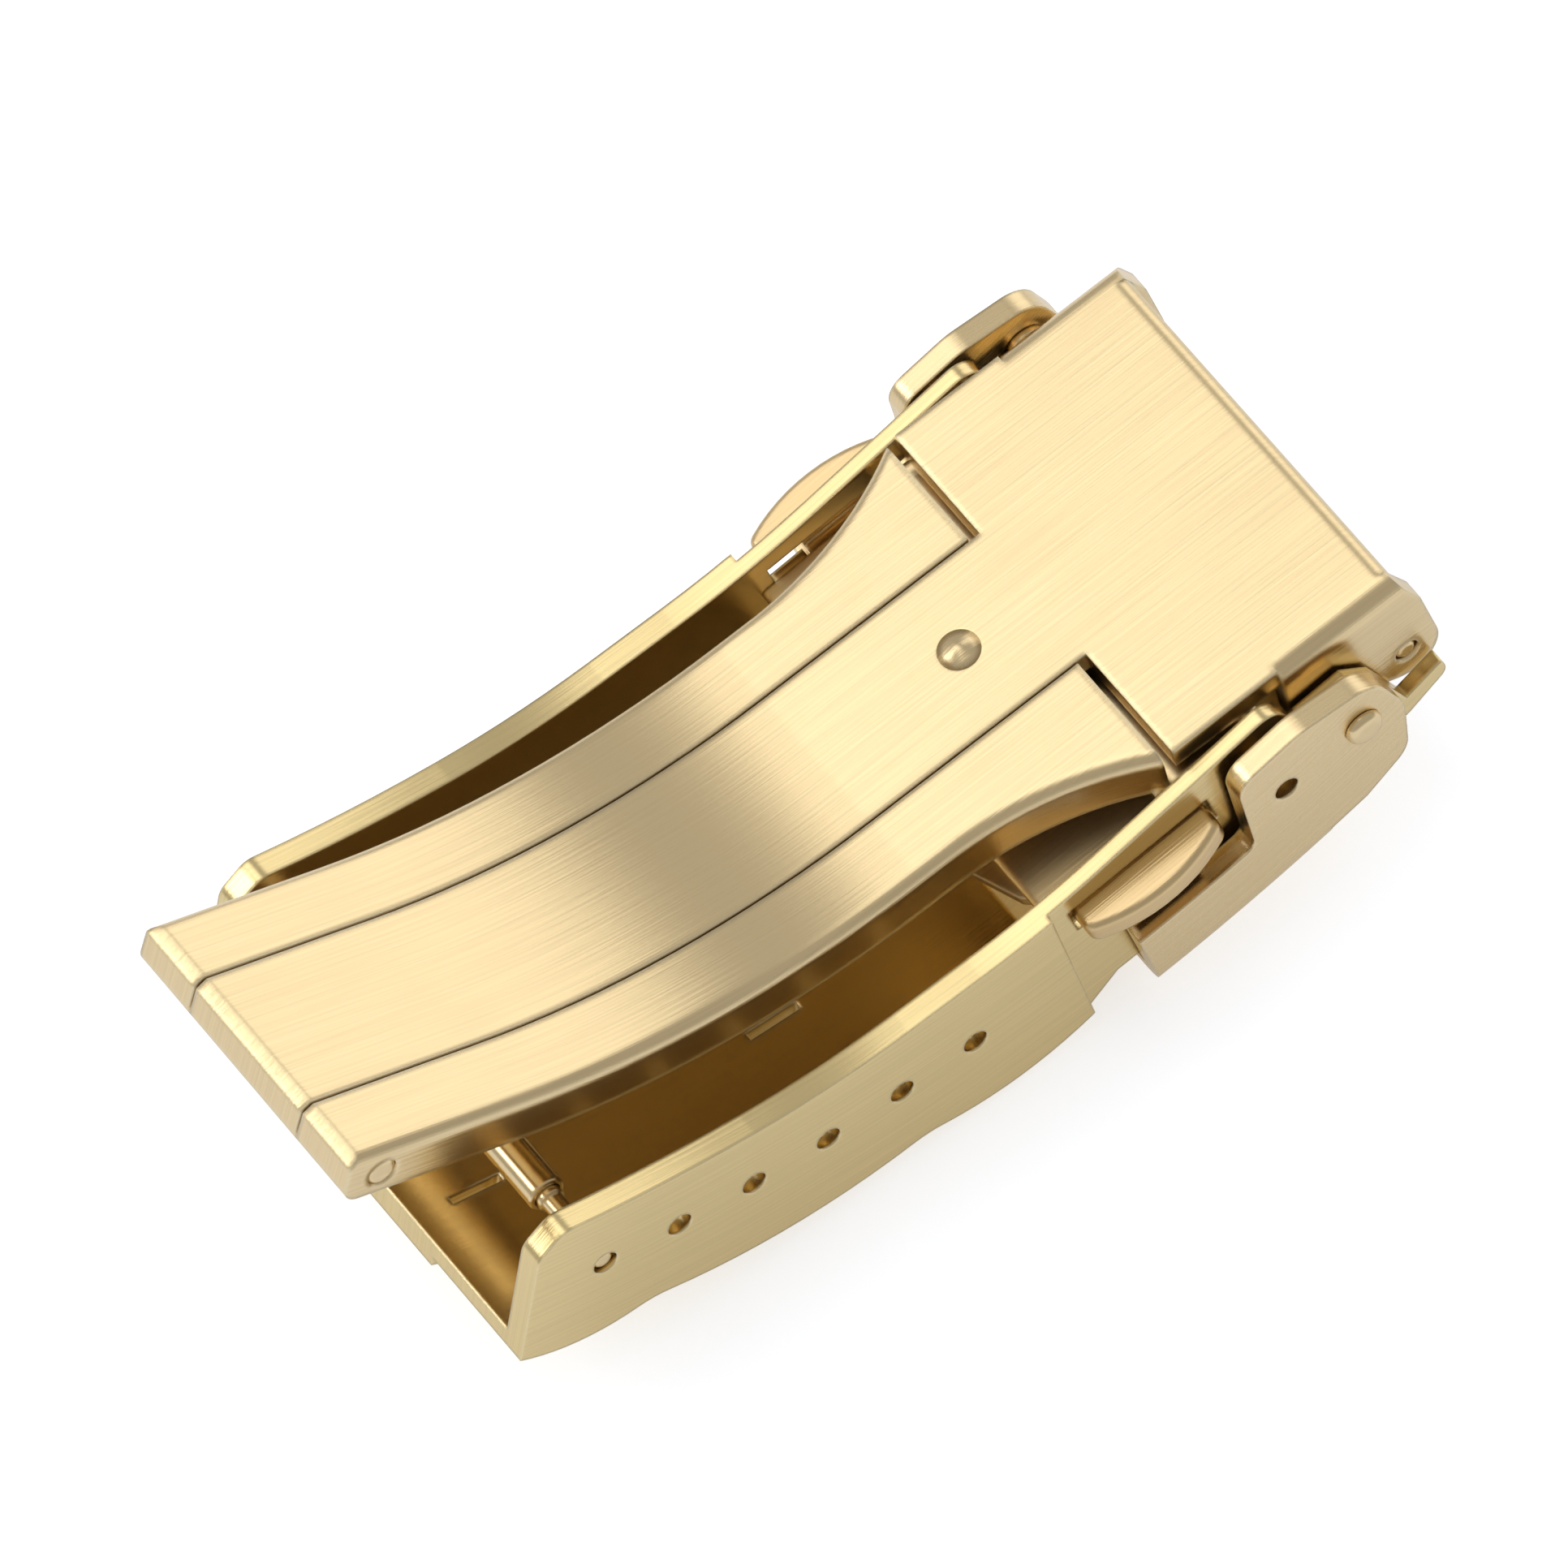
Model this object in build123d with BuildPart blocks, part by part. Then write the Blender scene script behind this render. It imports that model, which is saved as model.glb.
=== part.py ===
from build123d import *
from math import cos, hypot, sin
import os

# Fold-over clasp for a watch bracelet, folded shut and lying on its outer face.
# Millimetres. X runs along the bracelet, from the blades' nose to the flip lock,
# Y across it, and Z up, towards the wrist. The origin is the middle of the footprint.

# The casing is a channel bent along an arc. A station is measured along the arc of its
# adjustment holes, from the lowest point, and a rise is from that arc towards the wrist.
casing_width = 20.0
casing_wall = 1.0
hole_arc_radius = 55.6
floor_depth = 2.7
outer_depth = 3.9
scallop_depth = 0.45
band_width = 9.0
band_proud = 0.4
wall_rise = 2.95
latch_wall_rise = 3.5
end_wall_rise = 4.35
wall_swell_start = -5.0
wall_swell_end = 4.6
wall_swell_round = 30.0
casing_start = -19.0
start_corner_run = 1.0
start_corner_drop = 1.1
start_corner_round = 0.9
first_valley = -13.6
second_valley = -2.3
valley_round = 4.0
step_round = 0.6

# Adjustment holes for the bracelet's spring bar
adjust_hole_count = 6
adjust_hole_diameter = 1.0
adjust_pitch = 3.21
first_hole_station = -15.82

# Slits in the floor
slit_length = 2.1
slit_width = 0.35
slit_offset = 3.1
first_slit_station = -16.4
second_slit_station = -4.1

# End of the casing that carries the flip lock
recess_depth = 0.36
recess_station = 4.65
step_station = 4.6
step_run = 1.5
latch_floor_depth = 1.7
latch_outer_depth = 2.6
end_block_depth = 3.6
end_block_start = 14.95
end_block_inset = 0.8
floor_end = 18.9
wall_corner_station = 16.5
wall_corner_round = 0.9
wall_step_rise = 2.5
wall_shoulder_station = 18.95
wall_shoulder_rise = 2.15
wall_end_station = 19.65
wall_end_rise = 0.9
finger_notch_station = 19.7
finger_notch_depth = 1.72
finger_tip_station = 21.5
finger_tip_depth = 1.65
finger_tip_round = 0.1
finger_end_station = 21.38
finger_end_depth = 2.32
finger_end_round = 0.5
finger_foot_station = 19.42
rivet_station = 18.22
rivet_rise = 1.4

# Blades: a forked blade with a T-shaped centre blade lying in it, tops flush
blade_gap = 0.12
stem_width = 6.54
head_side_gap = 0.15
shoulder_side_gap = 0.4
flare_spread = 2.2
flare_length = 7.85
nose_station = -26.11
nose_rise = 6.72
bend_station = -8.02
bend_rise = 4.28
head_station = 23.0
head_rise = 2.97
blade_bend_radius = 31.5
fork_plate = 1.1
fork_depth = 2.1
fork_flange = 0.85
fork_edge_round = 0.5
centre_plate = 1.0
knuckle_length = 3.35
nose_edge_break = 0.35
shoulder_back = 10.1
shoulder_gap = 0.45
drop_wall = 0.8
cross_depth = 1.9
cross_plate = 0.85
cross_inset = 0.05
ear_back = 5.4
ear_corner_back = 0.15
ear_overhang = 0.45
ear_drop = 3.1
ear_thickness = 0.85
ear_round = 1.37
ear_bend_round = 0.8
end_wall_drop = 3.1
end_plate = 0.9
end_roll_radius = 0.5
end_inner_round = 0.3

# Hinge pins
nose_pin_diameter = 1.2
nose_pin_back = 1.6
nose_pin_depth = 1.16
nose_foot_round = 0.75
casing_pin_diameter = 1.2
casing_pin_station = 14.63
casing_pin_rise = 1.8
pin_end_inset = 0.12
pin_edge_break = 0.12
knuckle_radius = 1.15
running_gap = 0.03
seat_gap = 0.01

# Latch: a stud on the centre blade, a hook from each button, and a bridge over them.
# Places there are u along the casing, v across it, and w towards the wrist.
latch_station = 8.66
stud_back = 13.43
stud_neck_diameter = 1.3
stud_head_diameter = 1.9
stud_foot_rise = 0.45
stud_head_height = 0.9
stud_head_break = 0.2
stud_dome_diameter = 1.65
stud_dome_height = 0.25
stud_dome_top_diameter = 0.16
stud_clearance = 0.12
stud_sweep = 0.9
bridge_rise = 2.0
bridge_thickness = 0.6
bridge_front = 3.75
bridge_back = 3.8
bridge_edge_round = 0.28
hook_thickness = 0.5
hook_gap = 0.1
hook_back = 2.9
hook_front_outside = 3.9
hook_front_inside = 5.2
hook_front_inset = 1.3
hook_tip_width = 1.0
hook_tab_thickness = 0.6
hook_tab_length = 5.6
hook_tab_drop = 1.5
hook_stop_gap = 0.08

# Push buttons
button_length = 6.08
button_shift = 0.1
button_floor = 0.45
button_top = 2.8
button_pad_thickness = 1.15
button_leg_length = 3.0
button_leg_reach = 0.75
button_side_reach = 0.95
button_reach = 1.65
button_travel = 0.8
button_corner_round = 0.45
button_round = 0.3
button_slot_gap = 0.08
button_peg_diameter = 0.6
button_peg_length = 0.5
button_peg_rise = 0.87
window_gap = 0.15

# Springs behind the buttons, and the block between them
button_spring_diameter = 1.2
button_spring_wire = 0.2
button_spring_turns = 7
button_spring_depth = 0.85
anchor_length = 1.6
anchor_width = 5.0
anchor_height = 1.45

# Flip lock: a cover under the casing with an ear up each side
lock_ear_thickness = 0.95
lock_ear_gap = 0.31
lock_plate_thickness = 0.85
lock_plate_gap = 0.15
lock_start = 7.0
lock_plate_end = 14.75
lock_bend_round = 1.3
lock_strip_rise = 0.15
lock_lobe_start = 13.25
lock_lobe_start_round = 1.0
lock_lobe_end = 16.4
lock_lobe_rise = 4.1
lock_lobe_foot = 12.4
lock_lobe_round = 2.5
lock_notch_round = 0.5
lock_tip_station = 19.8
lock_tip_rise = 2.95
lock_tip_round = 1.4
lock_tip_foot_rise = 0.4
lock_tip_foot_round = 2.0
lock_foot_station = 18.6
lock_foot_depth = 2.1
lock_foot_round = 1.2
lock_heel_station = 16.4
lock_heel_depth = 2.58
lock_shank_depth = 2.2
lock_sweep_gap = 0.15
lock_window_diameter = 1.0

# Rivets of the flip lock
rivet_shank_diameter = 1.0
rivet_head_diameter = 1.5
rivet_head_height = 0.35
rivet_head_round = 0.33
rivet_collar_diameter = 1.8
rivet_end_inset = 0.05

# Spring bars: a tube, a plunger at each end and a spring between them
bar_diameter = 1.5
bar_bore_diameter = 1.12
adjust_bar_end_gap = 2.6
end_bar_end_gap = 0.15
bar_edge_round = 0.12
plunger_tip_diameter = 0.84
plunger_piston_diameter = 1.04
plunger_piston_length = 1.0
plunger_length = 4.2
adjust_tip_inset = 0.12
end_tip_inset = 0.02
bar_spring_wire = 0.2
bar_spring_diameter = 1.0
bar_spring_turns = 9
end_bar_station = 20.94
end_bar_depth = 0.72

# Overrun of cutting shapes
overrun = 2.0

# Derived widths
half_width = casing_width / 2
half_inside = half_width - casing_wall
half_recessed = half_width - recess_depth
half_stem = stem_width / 2
half_slot = half_stem + blade_gap
half_head = half_inside - head_side_gap
half_shoulder = half_inside - shoulder_side_gap
half_fork = half_shoulder - flare_spread
ear_inside = half_head - ear_thickness
lock_inside = half_recessed + lock_ear_gap
lock_outside = lock_inside + lock_ear_thickness

# Derived height of the arc's centre, and the end of the step in the floor
lowest_depth = outer_depth + band_proud
arc_z = lowest_depth + hole_arc_radius
step_end = step_station + step_run


def on_arc(station, rise):
    """Point (x, z) at a station along the hole arc and a rise towards the wrist."""
    turn = station / hole_arc_radius
    reach = hole_arc_radius - rise
    return (reach * sin(turn), arc_z - reach * cos(turn))


def arc_at(start, end, rise, middle_rise=None):
    """Arc between two stations at one rise, or bulged to a rise at its middle."""
    middle = rise if middle_rise is None else middle_rise
    return ThreePointArc(
        on_arc(start, rise), on_arc((start + end) / 2, middle), on_arc(end, rise)
    )


def arc_band(start, end, low, high):
    """Closed outline between two stations and two rises."""
    arc_at(start, end, low)
    Line(on_arc(end, low), on_arc(end, high))
    arc_at(start, end, high)
    Line(on_arc(start, high), on_arc(start, low))


def scallops(depth):
    """Outer line of the casing's links, bulged between the valleys."""
    valleys = (casing_start, first_valley, second_valley, step_station)
    for start, end in zip(valleys, valleys[1:]):
        arc_at(start, end, scallop_depth - depth, -depth)


def direction(a, b):
    """Unit direction from point a to point b."""
    length = hypot(b[0] - a[0], b[1] - a[1])
    return ((b[0] - a[0]) / length, (b[1] - a[1]) / length)


def moved(point, way, distance):
    """Point moved along a direction."""
    return (point[0] + way[0] * distance, point[1] + way[1] * distance)


def side_plane(offset):
    """Side view plane at a distance from the middle, on the near side."""
    return Plane.XZ.offset(offset)


def near_point(sketch, point):
    """Corner of a sketch that is nearest to a point."""
    return sketch.vertices().sort_by_distance((point[0], point[1], 0))[0]


# Side line of both blades' tops: straight nose, bend, straight head
nose_point = on_arc(nose_station, nose_rise)
bend_point = on_arc(bend_station, bend_rise)
head_point = on_arc(head_station, head_rise)
nose_way = direction(nose_point, bend_point)
head_way = direction(bend_point, head_point)
nose_down = (nose_way[1], -nose_way[0])
head_down = (head_way[1], -head_way[0])
bend_spread = 1 + nose_down[0] * head_down[0] + nose_down[1] * head_down[1]
bend_down = (
    (nose_down[0] + head_down[0]) / bend_spread,
    (nose_down[1] + head_down[1]) / bend_spread,
)


def on_head(back, depth):
    """Point back from the head's end along the top, then down from the top."""
    return moved(moved(head_point, head_way, -back), head_down, depth)


def on_nose(run, depth):
    """Point from the nose along the top, then down from the top."""
    return moved(moved(nose_point, nose_way, run), nose_down, depth)


def below_top(place):
    """Depth of a place under the blades' top line."""
    from_nose = (place.X - nose_point[0], place.Z - nose_point[1])
    from_head = (place.X - head_point[0], place.Z - head_point[1])
    return max(
        from_nose[0] * nose_down[0] + from_nose[1] * nose_down[1],
        from_head[0] * head_down[0] + from_head[1] * head_down[1],
    )


def blade_band(top_depth, low_depth, end_back):
    """Closed outline of a blade between two depths, up to a distance from the end."""
    for depth in (top_depth, low_depth):
        FilletPolyline(
            on_nose(0, depth),
            moved(bend_point, bend_down, depth),
            on_head(end_back, depth),
            radius=blade_bend_radius + depth,
        )
    Line(on_nose(0, top_depth), on_nose(0, low_depth))
    Line(on_head(end_back, top_depth), on_head(end_back, low_depth))


# Derived points in the side view
nose_pin_point = on_nose(nose_pin_back, nose_pin_depth)
casing_pin_point = on_arc(casing_pin_station, casing_pin_rise)
casing_pin_back = (head_point[0] - casing_pin_point[0]) / head_way[0]
rivet_point = on_arc(rivet_station, rivet_rise)
end_bar_point = on_arc(end_bar_station, -end_bar_depth)
first_hole_point = on_arc(first_hole_station, 0)
fork_end_back = shoulder_back + shoulder_gap
knuckle_x = on_nose(knuckle_length, 0)[0]
shoulder_x = on_head(shoulder_back, 0)[0]
fork_end_x = on_head(fork_end_back, 0)[0]
drop_x = fork_end_x - drop_wall
flare_x = fork_end_x - flare_length
ear_x = on_head(ear_back, 0)[0]
end_back = end_plate + end_inner_round + end_roll_radius
left_x = nose_point[0] - overrun
right_x = head_point[0] + overrun
top_z = nose_point[1] + overrun

# Derived rises of the lock's cover, and how near its edge passes its rivets
lock_inner_depth = latch_outer_depth + lock_plate_gap
lock_outer_depth = lock_inner_depth + lock_plate_thickness
lock_edge_point = on_arc(lock_plate_end, -lock_inner_depth)
lock_sweep = hypot(
    lock_edge_point[0] - rivet_point[0], lock_edge_point[1] - rivet_point[1]
)

# Frame of the latch
latch_turn = latch_station / hole_arc_radius
latch_point = on_arc(latch_station, 0)
latch_way = (cos(latch_turn), sin(latch_turn))
latch_up = (-sin(latch_turn), cos(latch_turn))
latch_plane = Plane(
    origin=(latch_point[0], 0, latch_point[1]),
    x_dir=(latch_way[0], 0, latch_way[1]),
    z_dir=(latch_up[0], 0, latch_up[1]),
)
latch_side = Plane(
    origin=latch_plane.origin, x_dir=latch_plane.x_dir, z_dir=(0, -1, 0)
)
stud_point = on_head(stud_back, 0)
stud_plane = Plane(
    origin=(stud_point[0], 0, stud_point[1]),
    x_dir=(head_way[0], 0, head_way[1]),
    z_dir=(-head_down[0], 0, -head_down[1]),
)
stud_from_latch = (stud_point[0] - latch_point[0], stud_point[1] - latch_point[1])
stud_top_u = stud_from_latch[0] * latch_way[0] + stud_from_latch[1] * latch_way[1]
stud_top_w = stud_from_latch[0] * latch_up[0] + stud_from_latch[1] * latch_up[1]
stud_u_slope = head_down[0] * latch_way[0] + head_down[1] * latch_way[1]
stud_w_slope = head_down[0] * latch_up[0] + head_down[1] * latch_up[1]
stud_length = (stud_foot_rise - stud_top_w) / stud_w_slope
stud_foot_u = stud_top_u + stud_length * stud_u_slope
stud_room = stud_head_diameter / 2 + stud_clearance

# Derived places of the latch's plates
button_left = button_shift - button_length / 2
button_right = button_shift + button_length / 2
tab_face = half_inside - hook_stop_gap
tab_back = tab_face - hook_tab_thickness
pad_inside = tab_face + seat_gap
plate_inside = half_shoulder + button_travel + button_slot_gap
bridge_floor = bridge_rise - bridge_thickness
near_hook_rise = bridge_floor - hook_gap - hook_thickness
far_hook_rise = near_hook_rise - hook_gap - hook_thickness
tab_top = bridge_floor - hook_gap
anchor_rise = seat_gap + seat_gap - latch_floor_depth
button_spring_length = tab_back - anchor_width / 2 - seat_gap - seat_gap


def latch_spot(u, v, w):
    """Place in the part's frame of a spot in the latch's frame."""
    return latch_plane.from_local_coords(Vector(u, v, w))


os.makedirs("parts", exist_ok=True)

# Casing: near half and its mirror
with BuildPart() as casing:
    with BuildSketch(Plane.XZ) as casing_side:
        with BuildLine():
            scallops(outer_depth)
            Line(
                on_arc(step_station, scallop_depth - outer_depth),
                on_arc(step_end, -latch_outer_depth),
            )
            arc_at(step_end, floor_end, -latch_outer_depth)
            Polyline(
                on_arc(floor_end, -latch_outer_depth),
                on_arc(finger_foot_station, -latch_outer_depth),
                on_arc(finger_end_station, -finger_end_depth),
                on_arc(finger_tip_station, -finger_tip_depth),
                on_arc(finger_notch_station, -finger_notch_depth),
                on_arc(wall_end_station, wall_end_rise),
                on_arc(wall_shoulder_station, wall_shoulder_rise),
                on_arc(wall_corner_station, wall_step_rise),
                on_arc(wall_corner_station, end_wall_rise),
                on_arc(wall_swell_end, latch_wall_rise),
                on_arc(wall_swell_start, wall_rise),
            )
            arc_at(casing_start + start_corner_run, wall_swell_start, wall_rise)
            Polyline(
                on_arc(casing_start + start_corner_run, wall_rise),
                on_arc(casing_start, wall_rise - start_corner_drop),
                on_arc(casing_start, scallop_depth - outer_depth),
            )
        make_face()
        for station, rise in ((wall_swell_start, wall_rise), (wall_swell_end, latch_wall_rise)):
            fillet(near_point(casing_side, on_arc(station, rise)), radius=wall_swell_round)
        casing_corners = (
            (wall_corner_station, end_wall_rise, wall_corner_round),
            (finger_tip_station, -finger_tip_depth, finger_tip_round),
            (finger_end_station, -finger_end_depth, finger_end_round),
            (casing_start + start_corner_run, wall_rise, start_corner_round),
            (casing_start, wall_rise - start_corner_drop, start_corner_round),
        )
        for station, rise, corner_round in casing_corners:
            fillet(near_point(casing_side, on_arc(station, rise)), radius=corner_round)
        fillet(
            near_point(casing_side, on_arc(step_station, scallop_depth - outer_depth)),
            radius=step_round,
        )
        for valley in (first_valley, second_valley):
            fillet(
                near_point(casing_side, on_arc(valley, scallop_depth - outer_depth)),
                radius=valley_round,
            )
    extrude(amount=half_width)
    with BuildSketch(Plane.XZ):
        with BuildLine():
            arc_band(end_block_start, floor_end, -end_block_depth, -latch_floor_depth)
        make_face()
        with Locations(rivet_point):
            Circle(lock_sweep - lock_sweep_gap, mode=Mode.INTERSECT)
    extrude(amount=half_inside - end_block_inset)
    with BuildSketch(side_plane(half_recessed)):
        with BuildLine():
            arc_band(
                recess_station,
                finger_tip_station + overrun,
                -end_block_depth - overrun,
                end_wall_rise + overrun,
            )
        make_face()
    extrude(amount=recess_depth + overrun, mode=Mode.SUBTRACT)
    with BuildSketch(Plane.XZ):
        with BuildLine():
            scallops(lowest_depth)
            Line(
                on_arc(step_station, scallop_depth - lowest_depth),
                on_arc(step_station, -floor_depth),
            )
            arc_at(casing_start, step_station, -floor_depth)
            Line(
                on_arc(casing_start, -floor_depth),
                on_arc(casing_start, scallop_depth - lowest_depth),
            )
        make_face()
    extrude(amount=band_width / 2)
    with BuildSketch(Plane.XZ):
        with BuildLine():
            arc_at(casing_start - overrun, step_station, -floor_depth)
            Line(on_arc(step_station, -floor_depth), on_arc(step_end, -latch_floor_depth))
            arc_at(step_end, floor_end, -latch_floor_depth)
            Polyline(
                on_arc(floor_end, -latch_floor_depth),
                on_arc(floor_end, -end_block_depth - overrun),
                on_arc(finger_tip_station + overrun, -end_block_depth - overrun),
                on_arc(finger_tip_station + overrun, end_wall_rise + overrun),
            )
            arc_at(
                casing_start - overrun,
                finger_tip_station + overrun,
                end_wall_rise + overrun,
            )
            Line(
                on_arc(casing_start - overrun, end_wall_rise + overrun),
                on_arc(casing_start - overrun, -floor_depth),
            )
        make_face()
    extrude(amount=half_inside, mode=Mode.SUBTRACT)
    adjust_holes = [
        on_arc(first_hole_station + index * adjust_pitch, 0)
        for index in range(adjust_hole_count)
    ]
    with BuildSketch(side_plane(half_inside - seat_gap)):
        with Locations(*adjust_holes):
            Circle(adjust_hole_diameter / 2)
        with Locations(casing_pin_point):
            Circle(casing_pin_diameter / 2 + seat_gap)
        with Locations(rivet_point):
            Circle(rivet_shank_diameter / 2 + seat_gap)
    extrude(amount=casing_wall + overrun, mode=Mode.SUBTRACT)
    with BuildSketch(latch_side.offset(half_inside - seat_gap)):
        with Locations((button_shift, button_top + window_gap)):
            Rectangle(
                button_length + window_gap + window_gap,
                button_pad_thickness + window_gap + window_gap,
                align=(Align.CENTER, Align.MAX),
            )
            Rectangle(
                button_leg_length + window_gap + window_gap,
                button_top - button_floor + window_gap + window_gap,
                align=(Align.CENTER, Align.MAX),
            )
    extrude(amount=casing_wall + overrun, mode=Mode.SUBTRACT)
    for station in (first_slit_station, second_slit_station):
        with BuildSketch(side_plane(slit_offset - slit_width / 2)):
            with BuildLine():
                arc_band(
                    station - slit_length / 2,
                    station + slit_length / 2,
                    -outer_depth - overrun,
                    overrun - floor_depth,
                )
            make_face()
        extrude(amount=slit_width, mode=Mode.SUBTRACT)
    mirror(about=Plane.XZ)

casing.part.label = "casing"
export_step(casing.part, "parts/casing.step")

# Bridge plate over the latch, between the walls
with BuildPart() as bridge_plate:
    with BuildSketch(latch_plane.offset(bridge_floor)):
        with Locations(((bridge_back - bridge_front) / 2, 0)):
            Rectangle(bridge_front + bridge_back, 2 * (half_inside - seat_gap))
        with Locations((stud_foot_u + stud_sweep / 2, 0)):
            SlotCenterToCenter(stud_sweep, 2 * stud_room, mode=Mode.SUBTRACT)
    extrude(amount=bridge_thickness)
    front_edges = bridge_plate.edges().filter_by(Axis.Y).sort_by(Axis.X)
    fillet(front_edges[:2], radius=bridge_edge_round)

bridge_plate.part.label = "bridge_plate"
export_step(bridge_plate.part, "parts/bridge_plate.step")


def build_hook(side, floor_rise):
    """Hook round the stud for the button on one side, with a tab behind the button."""
    tab_middle = side * (tab_back + hook_tab_thickness / 2)
    room_length = stud_room + stud_room + stud_sweep
    room_width = stud_room + stud_room + button_travel
    with BuildPart() as hook:
        with BuildSketch(latch_plane.offset(floor_rise)):
            with BuildLine():
                Polyline(
                    (-hook_front_inside, side * half_stem),
                    (-hook_front_outside, side * (tab_back - hook_front_inset)),
                    (button_shift - hook_tab_length / 2, side * tab_back),
                    (button_shift + hook_tab_length / 2, side * tab_back),
                    (hook_back, side * half_stem),
                    (hook_back, -side * (stud_room + hook_tip_width)),
                    (-hook_back, -side * (stud_room + hook_tip_width)),
                    (-hook_back, side * half_stem),
                    close=True,
                )
            make_face()
            with Locations((stud_foot_u + stud_sweep / 2, side * button_travel / 2)):
                Rectangle(room_length, room_width, mode=Mode.SUBTRACT)
        extrude(amount=hook_thickness)
        with BuildSketch(latch_plane.offset(-hook_tab_drop)):
            with Locations((button_shift, tab_middle)):
                Rectangle(hook_tab_length, hook_tab_thickness)
        extrude(amount=hook_tab_drop + tab_top)
        peg_plane = Plane(
            origin=latch_spot(button_shift, side * tab_face, button_peg_rise),
            x_dir=latch_plane.x_dir,
            z_dir=(0, -side, 0),
        )
        with BuildSketch(peg_plane):
            Circle(button_peg_diameter / 2 + seat_gap)
        extrude(amount=hook_tab_thickness - seat_gap, mode=Mode.SUBTRACT)
    return hook


latch_hook_near = build_hook(-1, near_hook_rise)
latch_hook_near.part.label = "latch_hook_near"
export_step(latch_hook_near.part, "parts/latch_hook_near.step")

latch_hook_far = build_hook(1, far_hook_rise)
latch_hook_far.part.label = "latch_hook_far"
export_step(latch_hook_far.part, "parts/latch_hook_far.step")

# Push buttons: half-moon pads that slide over the bridge, each with a peg in its hook
with BuildPart() as push_button_near:
    with BuildSketch(latch_plane.offset(button_top - button_pad_thickness)) as pad_plan:
        with BuildLine():
            Polyline(
                (button_left, -half_recessed - button_side_reach),
                (button_left, -plate_inside),
                (button_right, -plate_inside),
                (button_right, -half_recessed - button_side_reach),
            )
            ThreePointArc(
                (button_left, -half_recessed - button_side_reach),
                (button_shift, -half_recessed - button_reach),
                (button_right, -half_recessed - button_side_reach),
            )
        make_face()
        for side_u in (button_left, button_right):
            corner = (side_u, -half_recessed - button_side_reach)
            fillet(near_point(pad_plan, corner), radius=button_corner_round)
    extrude(amount=button_pad_thickness)
    pad_rims = push_button_near.edges().filter_by(GeomType.CIRCLE)
    fillet(pad_rims, radius=button_round)
    with BuildSketch(latch_plane.offset(bridge_floor - hook_gap)):
        with Locations((button_shift, -pad_inside)):
            Rectangle(
                button_length + overrun,
                2 * (button_travel + button_slot_gap),
            )
    extrude(amount=bridge_thickness + hook_gap + hook_gap, mode=Mode.SUBTRACT)
    leg_plane = Plane(
        origin=latch_spot(button_shift - button_leg_length / 2, 0, 0),
        x_dir=(0, 1, 0),
        z_dir=latch_plane.x_dir,
    )
    with BuildSketch(leg_plane):
        with BuildLine():
            Polyline(
                (-pad_inside, button_floor),
                (-pad_inside, bridge_floor - hook_gap),
                (-pad_inside - button_travel - button_slot_gap, bridge_floor - hook_gap),
                (
                    -pad_inside - button_travel - button_slot_gap,
                    button_top - button_pad_thickness / 2,
                ),
                (-half_recessed - button_leg_reach, button_top - button_pad_thickness / 2),
                (-half_recessed - button_leg_reach, button_floor),
                close=True,
            )
        make_face()
    extrude(amount=button_leg_length)
    pad_peg_plane = Plane(
        origin=latch_spot(button_shift, -pad_inside, button_peg_rise),
        x_dir=latch_plane.x_dir,
        z_dir=(0, 1, 0),
    )
    with BuildSketch(pad_peg_plane):
        Circle(button_peg_diameter / 2)
    extrude(amount=button_peg_length)

push_button_near.part.label = "push_button_near"
export_step(push_button_near.part, "parts/push_button_near.step")

with BuildPart() as push_button_far:
    mirror(push_button_near.part, about=Plane.XZ)

push_button_far.part.label = "push_button_far"
export_step(push_button_far.part, "parts/push_button_far.step")

# Block on the floor between the button springs
with BuildPart() as spring_anchor:
    with BuildSketch(latch_plane.offset(anchor_rise)):
        Rectangle(anchor_length, anchor_width)
    extrude(amount=anchor_height)

spring_anchor.part.label = "spring_anchor"
export_step(spring_anchor.part, "parts/spring_anchor.step")


def coil(start, length, radius, wire, turns):
    """Spring from a place towards the near side, as one unbroken wire."""
    rise = length - wire
    with BuildPart() as spring:
        with BuildLine() as path:
            Helix(
                pitch=rise / turns,
                height=rise,
                radius=radius - wire / 2,
                center=start - Vector(0, wire / 2, 0),
                direction=(0, -1, 0),
            )
        with BuildSketch(Plane(origin=path.line @ 0, z_dir=path.line % 0)):
            Circle(wire / 2)
        sweep(path=path.line, is_frenet=True)
    return spring


button_spring_near = coil(
    latch_spot(0, -anchor_width / 2 - seat_gap, -button_spring_depth),
    button_spring_length,
    button_spring_diameter / 2,
    button_spring_wire,
    button_spring_turns,
)
button_spring_near.part.label = "button_spring_near"
export_step(button_spring_near.part, "parts/button_spring_near.step")

with BuildPart() as button_spring_far:
    mirror(button_spring_near.part, about=Plane.XZ)

button_spring_far.part.label = "button_spring_far"
export_step(button_spring_far.part, "parts/button_spring_far.step")


def fork_plan(inset, left, right):
    """Near half of the fork in plan, drawn in by an inset from its outer edge."""
    Line((left, -half_slot), (left, inset - half_fork))
    Line((left, inset - half_fork), (flare_x, inset - half_fork))
    TangentArc(
        (flare_x, inset - half_fork),
        (right, inset + inset / 2 - half_shoulder),
        tangent=(1, 0),
    )
    Line((right, inset + inset / 2 - half_shoulder), (right, -half_slot))
    Line((right, -half_slot), (left, -half_slot))


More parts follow.
